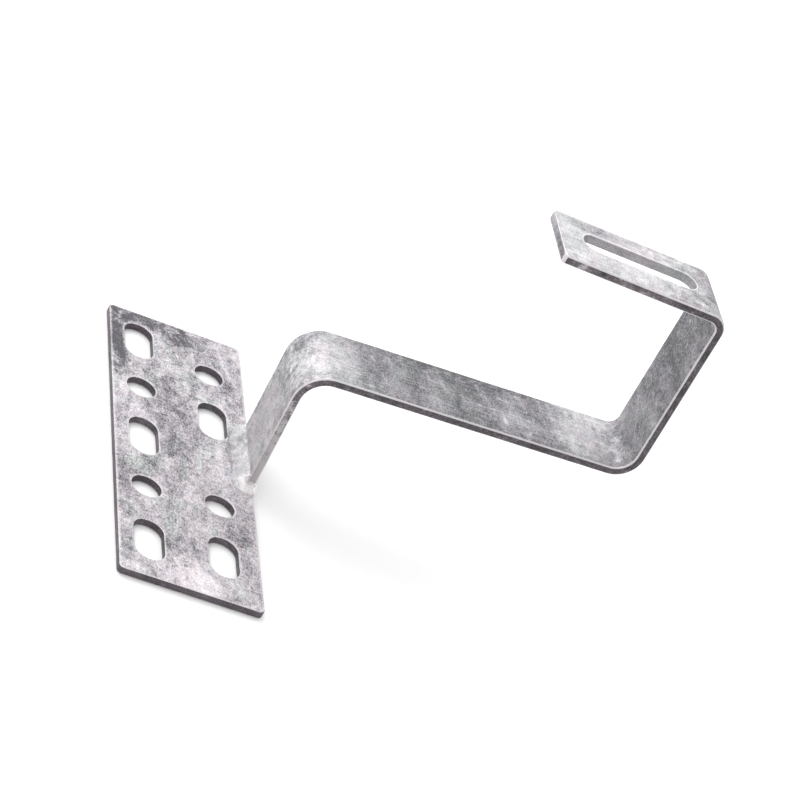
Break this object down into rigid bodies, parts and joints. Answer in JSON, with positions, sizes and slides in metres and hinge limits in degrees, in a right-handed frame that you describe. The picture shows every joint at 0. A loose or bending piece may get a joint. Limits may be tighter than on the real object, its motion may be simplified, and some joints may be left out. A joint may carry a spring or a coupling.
{
  "type": "roof hook",
  "caption": "Galvanised steel roof hook: a drilled base plate with a flat bar welded on its edge, bent up, along, up and back into a slotted arm.",
  "frame": {"origin": "centre of the base plate's underside, where it lies on the rafter", "axes": "+X down the roof slope, along the run of the bar away from the plate; +Y across the slope, along the plate's long side; +Z out of the roof, from the plate's underside towards the arm"},
  "size_m": [0.2004, 0.18, 0.15],
  "materials": {
    "zinc_plate": "hot-dip galvanised, mottled",
    "zinc_bar": "hot-dip galvanised, mottled",
    "zinc_weld": "galvanised weld bead, rippled"
  },
  "bodies": {
    "root": {"base_plate": "zinc_plate", "hook_bar": "zinc_bar", "weld_inner": "zinc_weld", "weld_front": "zinc_weld", "weld_back": "zinc_weld", "weld_seam": "zinc_weld"}
  },
  "joints": []
}
